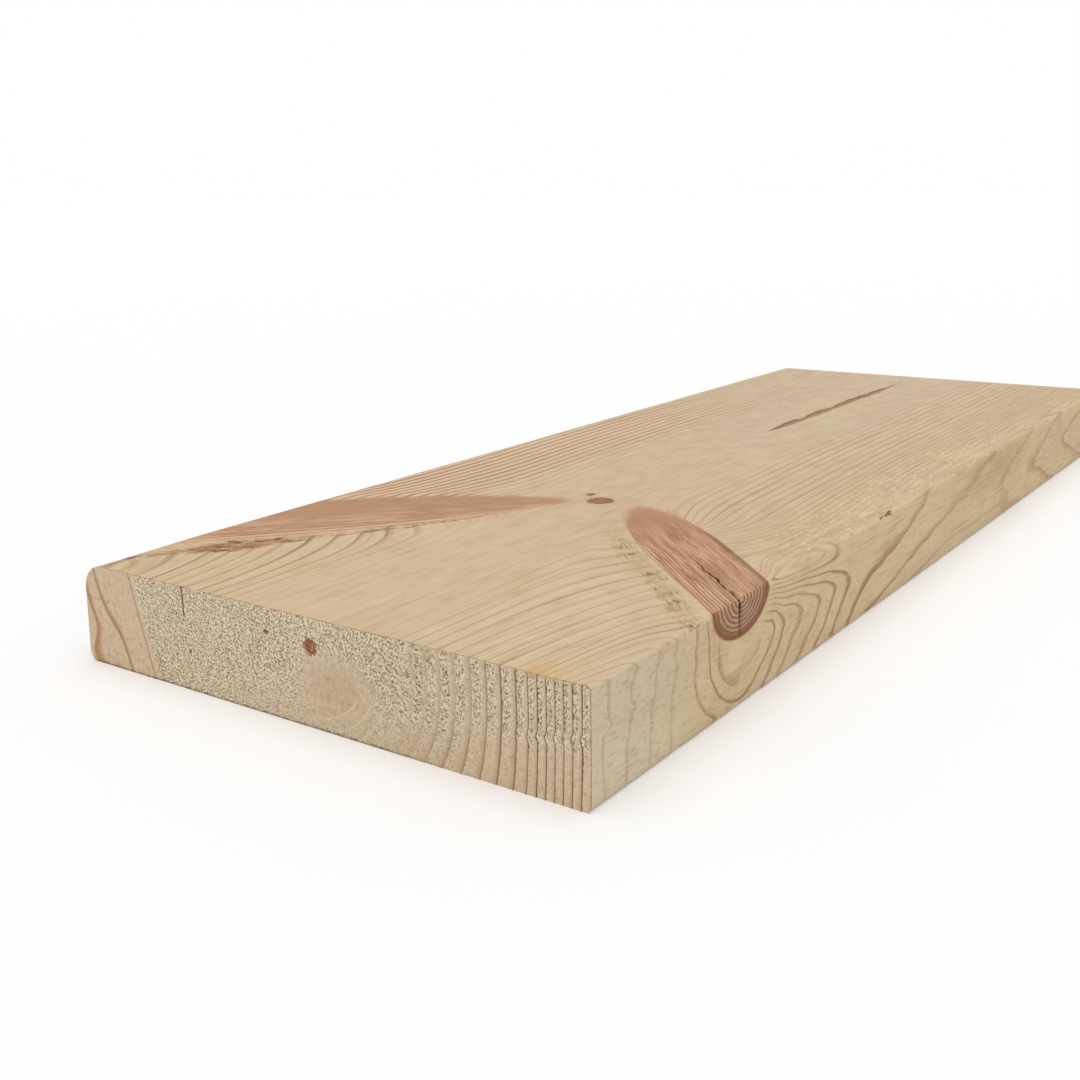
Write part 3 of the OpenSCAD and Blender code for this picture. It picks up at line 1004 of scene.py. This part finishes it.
# Studio
studio = {
    "floorSize": 60.0,
    "floorColour": (0.92, 0.92, 0.92, 1.0),
    "floorGlow": 0.12,      # what the camera alone sees on top, so that the floor is white
    "skyLevel": 0.56,       # light from all round
    "keyLevel": 0.38,       # light from above
    "keyFrom": (0.05, -0.16, 1.0),
    "keySpread": 70.0,      # degrees
}
world = bpy.data.worlds.new("studioWorld")
world.use_nodes = True
Flow.tree = world.node_tree
sky = world.node_tree.nodes["Background"]
sky.inputs["Color"].default_value = (1, 1, 1, 1)
seen = Flow.node("ShaderNodeLightPath", {}, {}, "Is Camera Ray")
mirrored = Flow.node("ShaderNodeLightPath", {}, {}, "Is Glossy Ray")
level = larger(seen, mirrored) * (1.0 - studio["skyLevel"]) + studio["skyLevel"]
world.node_tree.links.new(level.socket, sky.inputs["Strength"])
bpy.context.scene.world = world

key = bpy.data.lights.new("keyLight", "SUN")
key.energy = studio["keyLevel"] * math.pi
key.angle = math.radians(studio["keySpread"])
keyObject = bpy.data.objects.new("keyLight", key)
keyObject.rotation_euler = Vector(studio["keyFrom"]).to_track_quat("Z", "Y").to_euler()
bpy.context.collection.objects.link(keyObject)

floorMesh = bmesh.new()
bmesh.ops.create_grid(floorMesh, x_segments=1, y_segments=1, size=studio["floorSize"] / 2)
floorData = bpy.data.meshes.new("studioFloor")
floorMesh.to_mesh(floorData)
floorMesh.free()
floor = bpy.data.objects.new("studioFloor", floorData)
bpy.context.collection.objects.link(floor)
floorFinish = bpy.data.materials.new("paleFloor")
floorFinish.use_nodes = True
Flow.tree = floorFinish.node_tree
floorShader = floorFinish.node_tree.nodes["Principled BSDF"]
floorShader.inputs["Base Color"].default_value = studio["floorColour"]
floorShader.inputs["Roughness"].default_value = 0.9
floorShader.inputs["Emission Strength"].default_value = studio["floorGlow"]
toCamera = Flow.node("ShaderNodeLightPath", {}, {}, "Is Camera Ray")
glow = tint((0, 0, 0, 1), (1, 1, 1, 1), toCamera)
floorFinish.node_tree.links.new(glow.socket, floorShader.inputs["Emission Color"])
floorData.materials.append(floorFinish)

# Camera at the photograph's viewing angle
view = {
    "place": (0.2884, -0.5688, 0.1687),
    "heading": -35.48,      # degrees from the board's length towards its right
    "pitch": 15.48,         # degrees down
    "roll": -0.99,
    "focal": 1269.0,        # pixels, in a frame of 1080
    "frameSize": 1080.0,
    "sensor": 36.0,
}
camera = bpy.data.cameras.new("studioCamera")
camera.sensor_width = view["sensor"]
camera.lens = view["focal"] / view["frameSize"] * view["sensor"]
camera.clip_start = 0.01
cameraObject = bpy.data.objects.new("studioCamera", camera)
heading, pitch, roll = (math.radians(view[key]) for key in ("heading", "pitch", "roll"))
forward = Vector((math.sin(heading) * math.cos(pitch), math.cos(heading) * math.cos(pitch), -math.sin(pitch)))
level = forward.cross(Vector((0, 0, 1))).normalized()
up = level.cross(forward)
# The right vector's own rise gives the roll
right = level * math.cos(roll) + up * math.sin(roll)
up = right.cross(forward)
turned = Matrix((right, up, -forward)).transposed().to_4x4()
cameraObject.matrix_world = Matrix.Translation(view["place"]) @ turned
bpy.context.collection.objects.link(cameraObject)
bpy.context.scene.camera = cameraObject
bpy.context.scene.view_settings.view_transform = "Standard"
